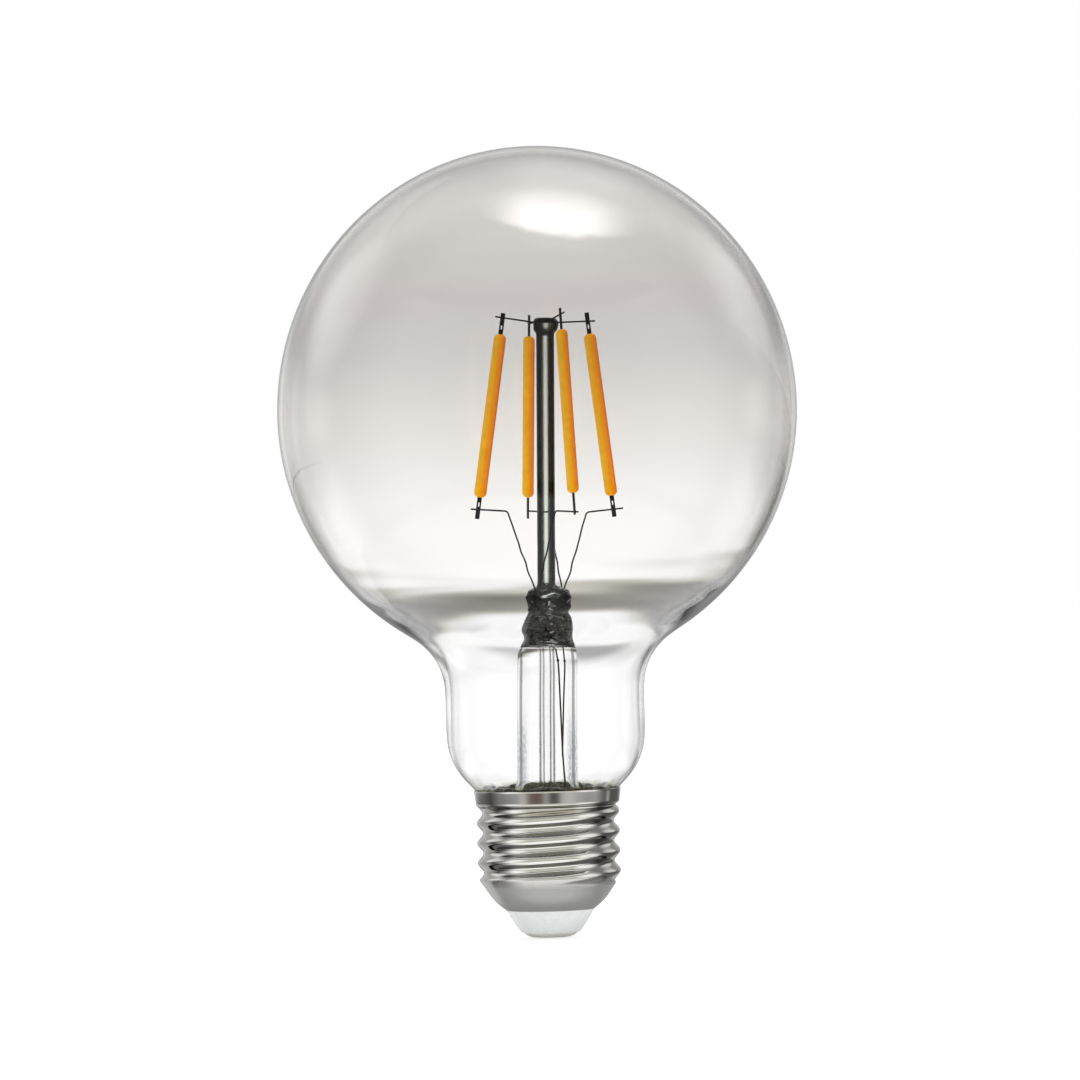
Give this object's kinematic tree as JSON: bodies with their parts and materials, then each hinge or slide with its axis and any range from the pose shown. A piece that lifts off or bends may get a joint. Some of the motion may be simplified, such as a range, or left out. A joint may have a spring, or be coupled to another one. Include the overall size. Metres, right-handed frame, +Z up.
{
  "type": "globe bulb",
  "caption": "Clear globe light bulb on a screw cap, with amber filaments on a leaning glass stem and a driver in the cap.",
  "frame": {"origin": "middle of the centre contact's flat face, on the cap's axis", "axes": "+Z up the cap's axis towards the globe's crown; the picture looks along +Y, with +X to its right"},
  "size_m": [0.095, 0.095, 0.1445],
  "materials": {
    "bulb_glass": "blown clear glass with a faint smoke-grey tint that fades towards the neck",
    "stem_glass": "clear pressed and drawn glass",
    "phosphor": "amber phosphor silicone, matt",
    "tab_metal": "thin stamped iron-nickel strip, dark satin",
    "wire_metal": "drawn nickel wire, satin",
    "lead_metal": "copper-clad lead-out wire, reddish",
    "cap_metal": "nickel-plated rolled sheet, bright",
    "contact_metal": "tinned contact disc, bright",
    "insulator_white": "white moulded insulator, semi-gloss",
    "cement": "baked cement, matt olive grey",
    "board": "green lacquered circuit board",
    "package_black": "black moulded package",
    "capacitor_sleeve": "shrunk plastic sleeve, dark blue",
    "resistor_coat": "lacquered ceramic, pale green",
    "insulated_wire": "tinned copper wire, satin"
  },
  "bodies": {
    "root": {"glass_bulb": "bulb_glass", "stem_tube": "stem_glass", "exhaust_tube": "stem_glass", "stem_pillar": "stem_glass", "filament_1": "phosphor", "filament_1_top_tab": "tab_metal", "filament_1_bottom_tab": "tab_metal", "lower_wire_1": "wire_metal", "filament_2": "phosphor", "filament_2_top_tab": "tab_metal", "filament_2_bottom_tab": "tab_metal", "lower_wire_2": "wire_metal", "filament_3": "phosphor", "filament_3_top_tab": "tab_metal", "filament_3_bottom_tab": "tab_metal", "lower_wire_3": "wire_metal", "filament_4": "phosphor", "filament_4_top_tab": "tab_metal", "filament_4_bottom_tab": "tab_metal", "lower_wire_4": "wire_metal", "upper_wire_1_to_4": "wire_metal", "upper_wire_2_to_3": "wire_metal", "lead_wire_left": "lead_metal", "lead_wire_right": "lead_metal", "base_cement": "cement", "screw_shell": "cap_metal", "insulator": "insulator_white", "centre_contact": "contact_metal", "driver_board": "board", "bridge_rectifier": "package_black", "driver_chip": "package_black", "smoothing_capacitor": "capacitor_sleeve", "fusible_resistor": "resistor_coat", "live_wire": "insulated_wire", "neutral_wire": "insulated_wire"}
  },
  "joints": []
}
